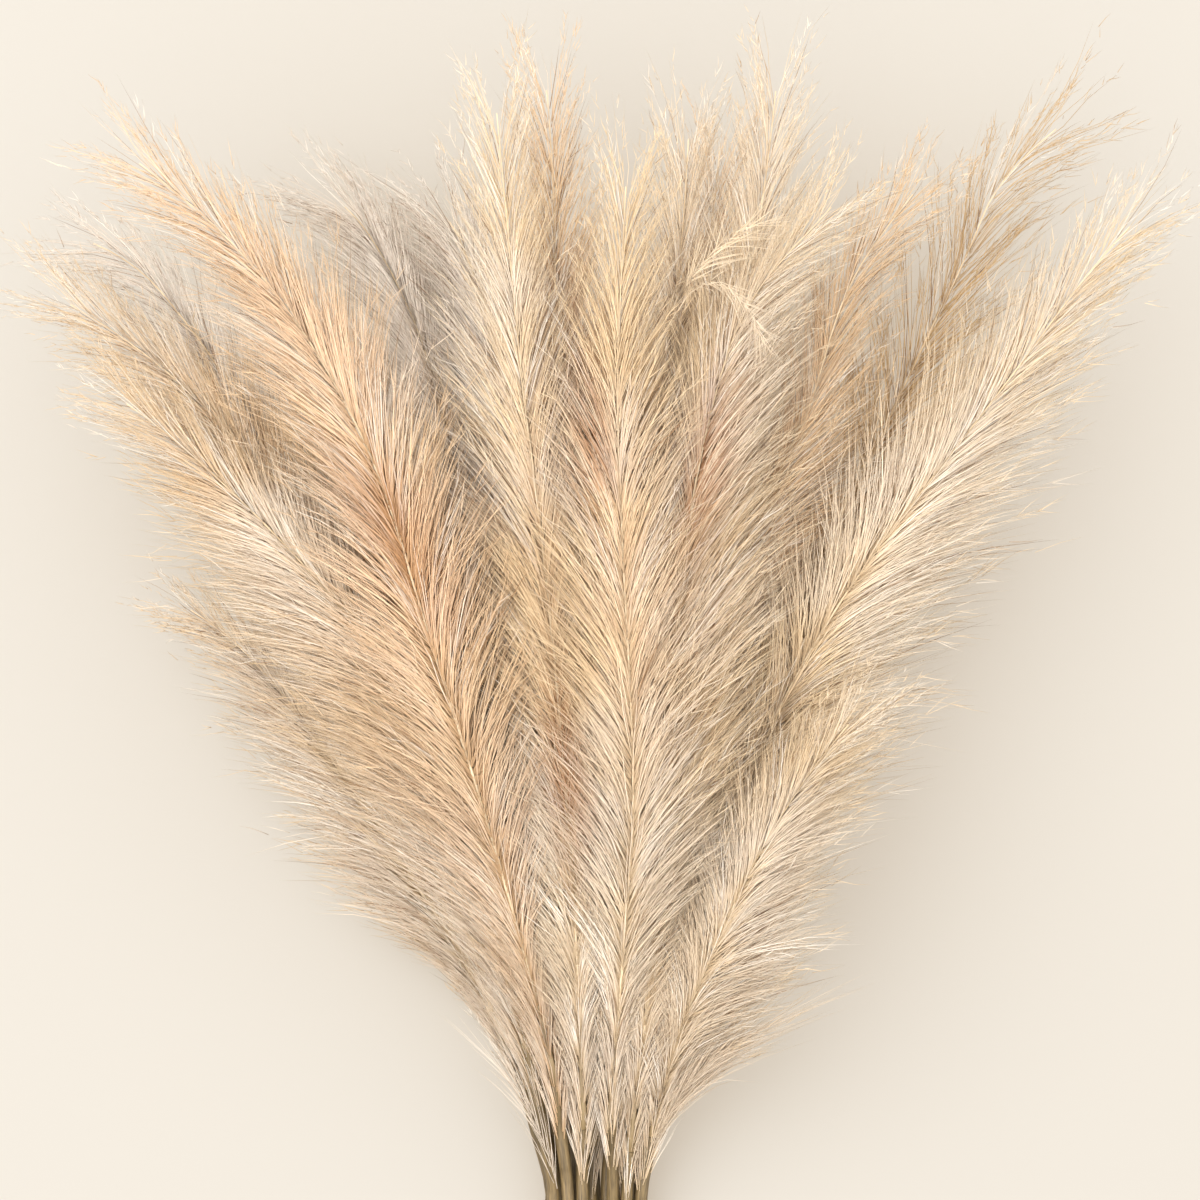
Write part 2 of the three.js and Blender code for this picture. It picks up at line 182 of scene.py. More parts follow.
# An axis that can be asked for points and directions at shares of its length, also past its tip.
class Axis:
    def __init__(self, line):
        self.line = line
        self.length = np.linalg.norm(np.diff(self.line, axis=0), axis=1).sum()
        self.marks = self.line[np.linspace(0, len(self.line) - 1, drawing["marks"]).astype(int)]
        slopes = np.gradient(self.line, axis=0)
        self.slopes = slopes / np.linalg.norm(slopes, axis=1)[:, None]

    def read(self, table, share):
        place = np.clip(share, 0, 1) * (len(table) - 1)
        low = np.minimum(place.astype(int), len(table) - 2)
        rest = (place - low)[..., None]
        return table[low] * (1 - rest) + table[low + 1] * rest

    def shareAt(self, y):
        return np.interp(y, self.line[:, 1], np.linspace(0, 1, len(self.line)))

    def at(self, share):
        share = np.asarray(share, float)
        past = np.maximum(share - 1, 0)[..., None] * self.length
        return self.read(self.line, share) + past * self.slopes[-1]

    def heading(self, share):
        slope = self.read(self.slopes, np.asarray(share, float))
        return slope / np.linalg.norm(slope, axis=-1, keepdims=True)

    # The directions across and over the axis.
    def around(self, share):
        ahead = self.heading(share)
        side = np.cross([0.0, 0.0, 1.0], ahead)
        side /= np.linalg.norm(side, axis=-1, keepdims=True)
        return side, np.cross(ahead, side)


axes = [Axis(axisLine(i)) for i in range(len(stalks))]
for axis, stalk in zip(axes, stalks):
    axis.foot = axis.shareAt(stalk["foot"])
allMarks = np.vstack([axis.marks for axis in axes])
print("axes drawn:", len(axes))


def newMaterial(name):
    material = bpy.data.materials.new(name)
    material.use_nodes = True
    tree = material.node_tree
    return material, tree, tree.nodes["Principled BSDF"]


def addNode(tree, kind, **values):
    node = tree.nodes.new(kind)
    for key, value in values.items():
        setattr(node, key, value)
    return node


def readAttribute(tree, name, output="Fac"):
    return addNode(tree, "ShaderNodeAttribute", attribute_name=name).outputs[output]


def stretch(tree, value, low, high, toLow=0.0, toHigh=1.0):
    node = addNode(tree, "ShaderNodeMapRange")
    for key, number in (("From Min", low), ("From Max", high), ("To Min", toLow), ("To Max", toHigh)):
        node.inputs[key].default_value = number
    tree.links.new(value, node.inputs["Value"])
    return node.outputs["Result"]


def blendColours(tree, first, second, share):
    node = addNode(tree, "ShaderNodeMix", data_type="RGBA", blend_type="MIX")
    sockets = [s for s in node.inputs if s.type == "RGBA"]
    for socket, value in zip(sockets, (first, second)):
        if isinstance(value, tuple):
            socket.default_value = value
        else:
            tree.links.new(value, socket)
    tree.links.new(share, node.inputs[0])
    return [s for s in node.outputs if s.type == "RGBA"][0]


def noiseOver(tree, scale, detail, vector=None):
    node = addNode(tree, "ShaderNodeTexNoise")
    node.inputs["Scale"].default_value = scale
    node.inputs["Detail"].default_value = detail
    if vector is None:
        vector = addNode(tree, "ShaderNodeTexCoord").outputs["Object"]
    tree.links.new(vector, node.inputs["Vector"])
    return node.outputs["Fac"]


# How a screen's levels stand for amounts of light.
screenCurve = {"most": 255, "knee": 0.04045, "slope": 12.92, "offset": 0.055, "power": 2.4}


def lightOf(level):
    if level <= screenCurve["knee"]:
        return level / screenCurve["slope"]
    return ((level + screenCurve["offset"]) / (1 + screenCurve["offset"])) ** screenCurve["power"]


# A colour given as it looks on a screen.
def tone(code):
    levels = [int(code[k:k + 2], 16) / screenCurve["most"] for k in (0, 2, 4)]
    return (*(lightOf(level) for level in levels), 1.0)


# The shader's colour is the body's, brighter or darker by a value of its own.
def colourBase(tree, shader, body, value):
    strength = addNode(tree, "ShaderNodeHueSaturation")
    tree.links.new(value, strength.inputs["Value"])
    tree.links.new(body, strength.inputs["Color"])
    tree.links.new(strength.outputs["Color"], shader.inputs["Base Color"])


# Noise that is drawn out lengthwise along a rod.
def lengthwiseGrain(tree, lengthwise):
    long = addNode(tree, "ShaderNodeMapping")
    long.inputs["Scale"].default_value = (1.0, 1.0, lengthwise)
    tree.links.new(readAttribute(tree, "grain", "Vector"), long.inputs["Vector"])
    return long.outputs["Vector"]


tints = {
    "cream": {"root": "e8cda8", "body": "f6e5cf", "tip": "e8cfac", "patch": "f1d8b2"},
    "peach": {"root": "deb88d", "body": "f0d2b2", "tip": "e3c39c", "patch": "eecea6"},
    "beige": {"root": "dec29c", "body": "eedbc5", "tip": "dbbf98", "patch": "e9cdaa"},
    "tan": {"root": "ba986e", "body": "dec29c", "tip": "c8a87e", "patch": "d6b68a"},
    "taupe": {"root": "d4bc9e", "body": "f1e7de", "tip": "d9c7b3", "patch": "ecdfd2"},
}
hairLook = {"roughness": 0.55, "shine": 0.3, "rootShare": 0.3, "tipFrom": 0.7,
            "patchScale": 9.0, "patchDetail": 2.0, "patchFrom": 0.42, "patchTo": 0.62,
            "lower": "d3c1af", "lowerFrom": -0.08, "lowerTo": 0.2, "lowerMost": 0.75,
            "paintedWarmShade": "b8763c", "paintedWarmShadeFrom": 0.05, "paintedWarmShadeMost": 0.85, "pale": "f7ede0", "paleFrom": 0.3,
            "dark": "a0744a", "paintedShadeUntil": 0.05, "lightFrom": 0.3, "leastLight": 0.2,
            "dimmest": 0.76, "brightest": 1.1}


# Hair darkens to its root, painted shade for the depths near the rachis; its own lock gives it a shade, and
# the lower part of the fan is greyer. Its darkest hairs take a dark brown, painted shade for the deep slits
# between hairs; a few places take a warm brown, painted shade for the deep gaps between plumes; and a few
# places are near white.
def hairMaterial(name):
    tint = tints[name]
    material, tree, shader = newMaterial("hair_" + name)
    along = readAttribute(tree, "along")
    shade = readAttribute(tree, "shade")
    patches = noiseOver(tree, hairLook["patchScale"], hairLook["patchDetail"])
    patches = stretch(tree, patches, hairLook["patchFrom"], hairLook["patchTo"])
    body = blendColours(tree, tone(tint["body"]), tone(tint["patch"]), patches)
    where = addNode(tree, "ShaderNodeSeparateXYZ")
    tree.links.new(addNode(tree, "ShaderNodeTexCoord").outputs["Object"], where.inputs[0])
    forward = where.outputs["Y"]
    lower = stretch(tree, forward, hairLook["lowerFrom"], hairLook["lowerTo"], hairLook["lowerMost"], 0.0)
    body = blendColours(tree, body, tone(hairLook["lower"]), lower)
    body = blendColours(tree, body, tone(tint["tip"]), stretch(tree, along, hairLook["tipFrom"], 1.0))
    pale = stretch(tree, readAttribute(tree, "pale"), hairLook["paleFrom"], 1.0)
    body = blendColours(tree, body, tone(hairLook["pale"]), pale)
    # Hairs with the lowest shade take the dark colour: painted shade for the deep slits between hairs.
    lit = stretch(tree, shade, hairLook["paintedShadeUntil"], hairLook["lightFrom"], hairLook["leastLight"], 1.0)
    body = blendColours(tree, tone(hairLook["dark"]), body, lit)
    # Towards the root the hair takes its root tint: painted shade for the depths near the rachis.
    body = blendColours(tree, tone(tint["root"]), body, stretch(tree, along, 0.0, hairLook["rootShare"]))
    # The warm brown mixed in here is painted shade for the deep gaps between plumes.
    paintedWarmShade = stretch(tree, readAttribute(tree, "paintedWarmShade"), hairLook["paintedWarmShadeFrom"], 1.0, 0.0, hairLook["paintedWarmShadeMost"])
    body = blendColours(tree, body, tone(hairLook["paintedWarmShade"]), paintedWarmShade)
    value = stretch(tree, shade, 0.0, 1.0, hairLook["dimmest"], hairLook["brightest"])
    colourBase(tree, shader, body, value)
    shader.inputs["Roughness"].default_value = hairLook["roughness"]
    shader.inputs["Specular IOR Level"].default_value = hairLook["shine"]
    return material


culmLook = {"light": "836e4a", "dark": "4c3e28", "ring": "40311e", "pith": "d8c6a0", "roughness": 0.5,
            "lengthwise": 0.06, "fineScale": 5.0, "fineDetail": 4.0, "fineFrom": 0.42, "fineTo": 0.7,
            "wideScale": 1.3, "wideDetail": 2.0, "wideFrom": 0.5, "wideTo": 0.75, "wideMost": 0.6,
            "bump": 0.3, "bumpDepth": 0.0003, "dimmest": 0.65, "brightest": 1.15,
            "paintedShadeByLayer": (0.25, 0.5, 0.75), "shadeUneven": 0.15}


# Lengthwise streaks that follow each culm, a dark line at its joints and pale pith in its cut. Each culm is
# dimmer or brighter by its shade, darker in the lower layers: painted shade for the culms that lie under the
# others.
def culmMaterial():
    material, tree, shader = newMaterial("culm")
    long = lengthwiseGrain(tree, culmLook["lengthwise"])
    fine = noiseOver(tree, culmLook["fineScale"], culmLook["fineDetail"], long)
    wide = noiseOver(tree, culmLook["wideScale"], culmLook["wideDetail"], long)
    streaks = stretch(tree, fine, culmLook["fineFrom"], culmLook["fineTo"])
    bands = stretch(tree, wide, culmLook["wideFrom"], culmLook["wideTo"], 0.0, culmLook["wideMost"])
    body = blendColours(tree, tone(culmLook["light"]), tone(culmLook["dark"]), streaks)
    body = blendColours(tree, body, tone(culmLook["dark"]), bands)
    body = blendColours(tree, body, tone(culmLook["ring"]), readAttribute(tree, "ring"))
    body = blendColours(tree, body, tone(culmLook["pith"]), readAttribute(tree, "pith"))
    shade = readAttribute(tree, "shade")
    colourBase(tree, shader, body, stretch(tree, shade, 0.0, 1.0, culmLook["dimmest"], culmLook["brightest"]))
    shader.inputs["Roughness"].default_value = culmLook["roughness"]
    bump = addNode(tree, "ShaderNodeBump")
    bump.inputs["Strength"].default_value = culmLook["bump"]
    bump.inputs["Distance"].default_value = culmLook["bumpDepth"]
    tree.links.new(fine, bump.inputs["Height"])
    tree.links.new(bump.outputs["Normal"], shader.inputs["Normal"])
    return material


rachisLook = {"light": "e9d5b6", "dark": "d9bb90", "foot": "97805a", "roughness": 0.6, "lengthwise": 0.2,
              "grainScale": 3.0, "grainDetail": 3.0, "grainFrom": 0.45, "grainTo": 0.7, "footUntil": 0.12}


# The rachis starts in the culm's colour and soon takes that of the hair.
def rachisMaterial():
    material, tree, shader = newMaterial("rachis")
    long = lengthwiseGrain(tree, rachisLook["lengthwise"])
    grain = noiseOver(tree, rachisLook["grainScale"], rachisLook["grainDetail"], long)
    streaks = stretch(tree, grain, rachisLook["grainFrom"], rachisLook["grainTo"])
    body = blendColours(tree, tone(rachisLook["light"]), tone(rachisLook["dark"]), streaks)
    past = stretch(tree, readAttribute(tree, "share"), 0.0, rachisLook["footUntil"])
    body = blendColours(tree, tone(rachisLook["foot"]), body, past)
    tree.links.new(body, shader.inputs["Base Color"])
    shader.inputs["Roughness"].default_value = rachisLook["roughness"]
    return material


hairMaterials = {name: hairMaterial(name) for name in tints}
materials = {"culm": culmMaterial(), "rachis": rachisMaterial()}
print("materials made:", len(hairMaterials) + len(materials))


def addPiece(name, mesh, material, node):
    piece = bpy.data.objects.new(name, mesh)
    bpy.context.scene.collection.objects.link(piece)
    mesh.materials.append(material)
    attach(piece, "root")
    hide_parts(node)


def inFrame(points):
    return (points - middle) * mm


# The rings of corners at a culm's joint lie at these distances from its middle.
jointRings = (-5.0, -2.6, -1.2, 0.0, 1.2, 2.6, 5.0)
culmRod = {"sides": 20, "step": 9.0, "radius": 3.3, "thinnest": 0.95, "thickest": 1.02, "ridges": 7,
           "ridgeDepth": 0.05, "ridgeTurn": 6, "firstJoint": (50.0, 150.0), "jointGap": 170.0,
           "bareTop": 80.0, "jointClear": 1.5, "jointSwell": 0.45, "jointWidth": 2.4, "lineWidth": 0.9,
           "seatGap": 0.3, "rim": 0.12, "pith": 0.62, "pithDepth": 0.7}
quadCorners = 4


# A rod through rings of points: an end face is pushed out again and again, and each ring's values go to
# its corners. The end that it starts from gets a sunken middle where depth is more than nothing.
def rodMesh(name, rings, values, middleShare=0.0, depth=0.0):
    bm = bmesh.new()
    tables = {key: bm.verts.layers.float.new(key) for key in values}
    grain = bm.verts.layers.float_vector.new("grain")
    bmesh.ops.create_circle(bm, cap_ends=True, segments=rings.shape[1], radius=1)
    bm.faces.ensure_lookup_table()
    end = bm.faces[0]
    turn = np.arange(rings.shape[1]) * 2 * math.pi / rings.shape[1]
    for k, ring in enumerate(rings):
        if k:
            grown = bmesh.ops.extrude_face_region(bm, geom=[end])["geom"]
            end = [g for g in grown if isinstance(g, bmesh.types.BMFace)][0]
        for loop, place, angle in zip(end.loops, ring, turn):
            loop.vert.co = place
            loop.vert[grain] = (math.cos(angle), math.sin(angle), k * culmRod["step"] / culmRod["radius"])
            for key, table in tables.items():
                loop.vert[table] = values[key][k]
    bmesh.ops.recalc_face_normals(bm, faces=bm.faces[:])
    bm.faces.ensure_lookup_table()
    if depth:
        ends = [face for face in bm.faces if len(face.verts) > quadCorners]
        start = min(ends, key=lambda face: face.calc_center_median().y)
        size = (start.verts[0].co - start.calc_center_median()).length
        for inwards, sunk in ((culmRod["rim"], 0.0), (1 - middleShare - culmRod["rim"], -depth)):
            bmesh.ops.inset_region(bm, faces=[start], thickness=size * inwards, depth=sunk)
        for vert in start.verts:
            vert[tables["pith"]] = 1
    mesh = bpy.data.meshes.new(name)
    for face in bm.faces:
        face.smooth = len(face.verts) == quadCorners
    bm.to_mesh(mesh)
    bm.free()
    return mesh


strandSides = 3


# One strand as a template: a three-sided rod of unit steps that ends in a point.
def strandTemplate(steps):
    bm = bmesh.new()
    bmesh.ops.create_circle(bm, cap_ends=True, segments=strandSides, radius=1)
    bm.faces.ensure_lookup_table()
    end = bm.faces[0]
    for _ in range(steps):
        grown = bmesh.ops.extrude_face_region(bm, geom=[end])["geom"]
        end = [g for g in grown if isinstance(g, bmesh.types.BMFace)][0]
        bmesh.ops.translate(bm, vec=(0, 0, 1), verts=end.verts[:])
    bmesh.ops.pointmerge(bm, verts=end.verts[:], merge_co=(0, 0, steps))
    bmesh.ops.triangulate(bm, faces=bm.faces[:])
    bmesh.ops.recalc_face_normals(bm, faces=bm.faces[:])
    bm.verts.index_update()
    corners = np.array([v.co[:] for v in bm.verts])
    faces = np.array([[v.index for v in face.verts] for face in bm.faces])
    bm.free()
    return {"ring": np.rint(corners[:, 2]).astype(int), "across": corners[:, :2], "faces": faces}


# Copies of the template laid along many lines at once. lines is (strands, steps + 1, 3), and radii
# gives the thickness at each of those points.
def layStrands(template, lines, radii, random):
    ahead = np.gradient(lines, axis=1)
    ahead /= np.linalg.norm(ahead, axis=2, keepdims=True)
    steady = random.normal(size=(len(lines), 1, 3))
    first = steady - (steady * ahead).sum(2, keepdims=True) * ahead
    first /= np.linalg.norm(first, axis=2, keepdims=True)
    second = np.cross(ahead, first)
    ring, across = template["ring"], template["across"]
    out = first[:, ring] * across[:, 0, None] + second[:, ring] * across[:, 1, None]
    corners = lines[:, ring] + out * radii[:, ring, None]
    offsets = np.arange(len(lines))[:, None, None] * len(ring)
    return corners.reshape(-1, 3), (template["faces"][None] + offsets).reshape(-1, 3)


def meshFromArrays(name, corners, faces):
    mesh = bpy.data.meshes.new(name)
    mesh.vertices.add(len(corners))
    mesh.vertices.foreach_set("co", corners.astype(np.float32).ravel())
    mesh.loops.add(faces.size)
    mesh.loops.foreach_set("vertex_index", faces.astype(np.int32).ravel())
    mesh.polygons.add(len(faces))
    mesh.polygons.foreach_set("loop_start", np.arange(0, faces.size, faces.shape[1], dtype=np.int32))
    mesh.polygons.foreach_set("use_smooth", np.ones(len(faces), dtype=bool))
    mesh.update(calc_edges=True)
    return mesh


def giveAttribute(mesh, name, values):
    attribute = mesh.attributes.new(name, "FLOAT", "POINT")
    attribute.data.foreach_set("value", np.asarray(values, np.float32))


def ringsRound(axis, shares, radii, sides, phase=0.0, ridges=0, ridgeDepth=0.0):
    turn = np.arange(sides) * 2 * math.pi / sides
    side, over = axis.around(shares)
    out = over[:, None] * np.cos(turn)[None, :, None] - side[:, None] * np.sin(turn)[None, :, None]
    wide = radii[:, None] * (1 - ridgeDepth * (0.5 + 0.5 * np.cos(ridges * turn + phase)))[None]
    rings = axis.at(shares)[:, None] + out * wide[..., None]
    rings[..., 2] = np.maximum(rings[..., 2], 0)
    return rings


# A culm swells a little at its joints, where a leaf once sat, and shows its pith at the cut.
def makeCulm(i, random):
    axis = axes[i]
    length = axis.length * axis.foot - culmRod["seatGap"]
    first = random.uniform(*culmRod["firstJoint"])
    joints = np.arange(first, length - culmRod["bareTop"], culmRod["jointGap"])
    near = (joints[:, None] + np.array(jointRings)).ravel()
    plain = np.arange(0, length, culmRod["step"])
    plain = plain[np.abs(plain[:, None] - joints).min(1) > jointRings[-1] + culmRod["jointClear"]]
    marks = np.unique(np.concatenate([near, plain, [length]]))
    fromJoint = marks[:, None] - joints[None]
    swell = np.exp(-(fromJoint / culmRod["jointWidth"]) ** 2).max(1)
    line = np.exp(-(fromJoint / culmRod["lineWidth"]) ** 2).max(1)
    thickness = random.uniform(culmRod["thinnest"], culmRod["thickest"])
    radii = culmRod["radius"] * thickness + culmRod["jointSwell"] * swell
    phase = random.uniform(0, culmRod["ridgeTurn"])
    rings = ringsRound(axis, marks / axis.length, radii, culmRod["sides"], phase,
                       culmRod["ridges"], culmRod["ridgeDepth"])
    uneven = random.uniform(-culmLook["shadeUneven"], culmLook["shadeUneven"])
    # Culms in lower layers are darker: painted shade for the culms that lie under the others.
    shade = culmLook["paintedShadeByLayer"][stalks[i]["layer"]] + uneven
    values = {"shade": np.full(len(marks), shade), "ring": line, "pith": np.zeros(len(marks))}
    name = "culm_%02d" % (i + 1)
    mesh = rodMesh(name, inFrame(rings), values, culmRod["pith"], culmRod["pithDepth"] * mm)
    addPiece(name, mesh, materials["culm"], "stem_%02d" % (i + 1))
    return len(mesh.polygons)


# How branches leave the rachis: length and angle change from the foot of a plume to its tip, and the
# angle opens along each branch.
branch = {"length": 92.0, "leaving": 0.56, "opening": 0.14, "rachisShare": 0.9, "over": 0.12, "under": 1.0,
          "droop": 9.0, "baseAtFoot": 3.7, "base": 1.3, "slimAt": 0.14}
fullness = {"atFoot": 0.5, "lessFrom": 0.5, "lostAtTip": 0.36}
lean = {"atFoot": 0.36, "lessFrom": 0.38, "lostAtTip": 0.5}
fullFrom = 0.31


def profileAt(shape, t, full):
    filled = mix(shape["atFoot"], 1, ease(t / full))
    return filled - shape["lostAtTip"] * ease((t - shape["lessFrom"]) / (1 - shape["lessFrom"]))


# Points of many branches at the shares s of their lengths. ways has two rows a branch, and every other
# argument but s has one.
def branchLines(axis, share, ways, length, leaning, base, s):
    angle = leaning[:, None] * (branch["leaving"] + branch["opening"] * s)
    forward = share[:, None] + length[:, None] * s * np.cos(angle) / axis.length
    away = length[:, None] * s * np.sin(angle)
    lines = axis.at(forward) + (ways[0] * base[:, None])[:, None] + ways[1][:, None] * away[..., None]
    lines[..., 2] -= branch["droop"] * s ** 2 * (length / branch["length"])[:, None]
    return lines


# Two ways out from an axis, at a turn from straight up: the one round it, where a branch is rooted, and
# the one it then takes, out to the side rather than up.
def waysOut(axis, share, turn):
    side, over = axis.around(share)
    rooted = over * np.cos(turn)[:, None] - side * np.sin(turn)[:, None]
    up = np.cos(turn) * np.where(np.cos(turn) > 0, branch["over"], branch["under"])
    aside = np.sign(np.sin(turn)) * np.sqrt(np.abs(np.sin(turn)))
    return np.stack([rooted, over * up[:, None] - side * aside[:, None]])


# How far points are from the ground of the neighbouring stalks, the least of each row. Hairs may mix
# further with those of a plume beside their own than with one over or under it.
def roomFor(i, points):
    flat = points.reshape(-1, 3)
    squares = (flat ** 2).sum(1)[:, None] - 2 * flat @ allMarks.T + (allMarks ** 2).sum(1)
    nearest = np.sqrt(np.maximum(squares.reshape(len(flat), len(axes), -1).min(2), 0))
    own = nearest[:, i:i + 1]
    room = (nearest - own) / 2
    for j, other in enumerate(stalks):
        room[:, j] += lock["mixing"][min(abs(other["layer"] - stalks[i]["layer"]), 1)]
    room[:, i] = np.inf
    return room.min(1).reshape(points.shape[:2]).min(1)


lock = {"count": 500, "goldenTurn": 2.39996, "turnUneven": 0.2, "parting": 0.12, "partingFrom": 0.08,
        "tries": 18, "easeOff": 0.9, "checks": 5, "mixing": (34.0, 16.0), "leanUneven": 0.15,
        "uneven": 0.22, "unevenBetween": (-1, 0.5), "bend": 2.5, "below": 30.0, "belowUntil": 0.05,
        "thinFrom": 0.62, "lostAtTip": 0.15, "shade": 0.5, "shadeUneven": 0.09, "paleSteep": 3}


# The locks of a plume: where each leaves the rachis, which way, how long it is and how far it leans.
# They part along the top, where the rachis shows, and the lowest ones start on the culm.
def layLocks(i, random):
    axis = axes[i]
    count = int(lock["count"] * stalks[i]["hairs"])
    t = (np.arange(count) + random.uniform(0, 1, count)) / count
    turn = np.arange(count) * lock["goldenTurn"] + random.normal(0, lock["turnUneven"], count)
    turn = turn % (2 * math.pi) - math.pi
    parting = lock["parting"] * ease(t / lock["partingFrom"])
    turn = np.sign(turn) * parting + turn * (1 - parting / math.pi)
    thinFrom = stalks[i].get("thinFrom", lock["thinFrom"])
    kept = random.uniform(0, 1, count) > lock["lostAtTip"] * ease((t - thinFrom) / (1 - thinFrom))
    t, turn, count = t[kept], turn[kept], kept.sum()
    full = stalks[i].get("fullFrom", fullFrom)
    over = (0.5 + 0.5 * np.cos(turn)) ** 2
    below = lock["below"] * over * (1 - ease(t / lock["belowUntil"]))
    share = mix(axis.foot, 1, t * branch["rachisShare"]) - below / axis.length
    base = mix(branch["baseAtFoot"], branch["base"], ease(t / branch["slimAt"]))
    ways = waysOut(axis, share, turn)
    size = 1 + lock["uneven"] * random.uniform(*lock["unevenBetween"], count)
    length = branch["length"] * stalks[i]["fluff"] * profileAt(fullness, t, full) * size
    leaning = profileAt(lean, t, full) * (1 + random.normal(0, lock["leanUneven"], count))
    steps = np.arange(1, lock["checks"] + 1) / lock["checks"]
    todo = np.arange(count)
    for _ in range(lock["tries"]):
        lines = branchLines(axis, share[todo], ways[:, todo], length[todo], leaning[todo], base[todo], steps)
        todo = todo[roomFor(i, lines) < 0]
        if not len(todo):
            break
        leaning[todo] *= lock["easeOff"]
    bend = random.normal(0, lock["bend"], (count, 3)) * (length / branch["length"])[:, None]
    return {"share": share, "turn": turn, "ways": ways, "length": length, "leaning": leaning,
            "base": base, "bend": bend, "shade": random.normal(lock["shade"], lock["shadeUneven"], count),
            "pale": random.uniform(0, 1, count) ** lock["paleSteep"],
            "thin": ease((t - thinFrom) / (1 - thinFrom))}


def lockPoints(axis, locks, rows, s):
    lines = branchLines(axis, locks["share"][rows], locks["ways"][:, rows], locks["length"][rows],
                        locks["leaning"][rows], locks["base"][rows], s)
    return lines + locks["bend"][rows][:, None] * (s ** 2)[..., None]


longHair = {"perLock": 9, "atTip": 2, "steps": 3, "radius": 0.25, "tipRadius": 0.12, "taper": 1.5,
            "thickness": (0.7, 1.2), "thinner": 0.75, "rootScatter": 9.0, "turnScatter": 0.18,
            "leanScatter": 0.14, "shortest": 0.55, "longest": 1.12, "clump": 0.15, "clumpAtTip": 0.8,
            "clumpFrom": 0.8, "spread": 3.0, "wave": 0.9, "pace": (4, 8), "shadeUneven": 0.12,
            "paintedShadeShare": 0.25, "darker": 0.4, "paintedShadeBelow": 0.2, "tipLike": 0.8}


# Long hairs, from the rachis to the tip of their lock, drawn together with the others in it.
def growLongHairs(i, locks, random):
    axis = axes[i]
    each = np.rint(mix(longHair["perLock"], longHair["atTip"], locks["thin"])).astype(int)
    rows = np.repeat(np.arange(len(each)), each)
    count = len(rows)
    share = locks["share"][rows] + random.uniform(-1, 1, count) * longHair["rootScatter"] / axis.length
    share = np.maximum(share, axis.foot - lock["below"] / axis.length)
    turn = locks["turn"][rows] + random.normal(0, longHair["turnScatter"], count)
    ways = waysOut(axis, share, turn)
    size = random.uniform(longHair["shortest"], longHair["longest"], count)
    length = locks["length"][rows] * size
    leaning = locks["leaning"][rows] * (1 + random.normal(0, longHair["leanScatter"], count))
    s = np.linspace(0, 1, longHair["steps"] + 1)
    own = branchLines(axis, share, ways, length, leaning, locks["base"][rows], s)
    shared = lockPoints(axis, locks, rows, size[:, None] * s[None])
    apart = random.normal(0, longHair["spread"], (count, 1, 3))
    draw = mix(longHair["clump"], longHair["clumpAtTip"], locks["thin"][rows])[:, None, None]
    draw = draw * ease(s / longHair["clumpFrom"])[None, :, None]
    lines = own * (1 - draw) + (shared + apart) * draw
    phase = random.uniform(0, 2 * math.pi, (count, 1, 3))
    pace = random.uniform(*longHair["pace"], (count, 1, 3))
    lines += longHair["wave"] * np.sin(phase + pace * s[None, :, None]) * s[None, :, None]
    thick = random.uniform(*longHair["thickness"], count) * mix(1, longHair["thinner"], locks["thin"][rows])
    radii = mix(longHair["radius"], longHair["tipRadius"], s ** longHair["taper"])[None] * thick[:, None]
    # Some of the hairs that don't face up are made darker so that they take the dark colour: painted shade
    # for the deep slits between hairs.
    inPaintedShade = random.uniform(0, 1, count) < longHair["paintedShadeShare"]
    dark = longHair["darker"] * inPaintedShade * (np.cos(turn) < longHair["paintedShadeBelow"])
    along = 1 - (1 - s)[None] * (1 - longHair["tipLike"] * locks["thin"][rows])[:, None]
    shade = locks["shade"][rows] + random.normal(0, longHair["shadeUneven"], count) - dark
    return {"lines": lines, "radii": radii, "along": along, "shade": shade, "pale": locks["pale"][rows]}


sideHair = {"perLock": 5, "atTip": 7, "steps": 2, "radius": 0.18, "tipRadius": 0.09, "from": 0.35, "to": 0.97,
            "look": 0.05, "shortest": 10.0, "longest": 28.0, "shorter": 0.6, "least": 0.25, "most": 0.65,
            "curl": 0.3, "wave": 0.7, "shadeUneven": 0.12}


# Short side hairs that leave the outer part of a lock at a small angle and curve forward again.
def growSideHairs(i, locks, random):
    axis = axes[i]
    each = np.rint(mix(sideHair["perLock"], sideHair["atTip"], locks["thin"])).astype(int)
    rows = np.repeat(np.arange(len(each)), each)
    count = len(rows)
    start = random.uniform(sideHair["from"], sideHair["to"], count)[:, None]
    here = lockPoints(axis, locks, rows, start)[:, 0]
    ahead = lockPoints(axis, locks, rows, start + sideHair["look"])[:, 0] - here
    ahead /= np.linalg.norm(ahead, axis=1)[:, None]
    aside = np.cross(ahead, random.normal(size=(count, 3)))
    aside /= np.linalg.norm(aside, axis=1)[:, None]
    angle = random.uniform(sideHair["least"], sideHair["most"], count)[:, None, None]
    length = random.uniform(sideHair["shortest"], sideHair["longest"], count)
    length = length * locks["length"][rows] / branch["length"]
    length *= mix(1, sideHair["shorter"], locks["thin"][rows])
    s = np.linspace(0, 1, sideHair["steps"] + 1)[None, :, None]
    forward = ahead[:, None] * np.cos(angle) * s
    outwards = aside[:, None] * np.sin(angle) * s * (1 - sideHair["curl"] * s)
    lines = here[:, None] + length[:, None, None] * (forward + outwards)
    lines += random.normal(0, sideHair["wave"], (count, 1, 3)) * s ** 2
    s = np.linspace(0, 1, sideHair["steps"] + 1)
    radii = np.repeat(mix(sideHair["radius"], sideHair["tipRadius"], s)[None], count, axis=0)
    shade = locks["shade"][rows] + random.normal(0, sideHair["shadeUneven"], count)
    return {"lines": lines, "radii": radii, "along": mix(start, 1, s[None]), "shade": shade,
            "pale": locks["pale"][rows]}


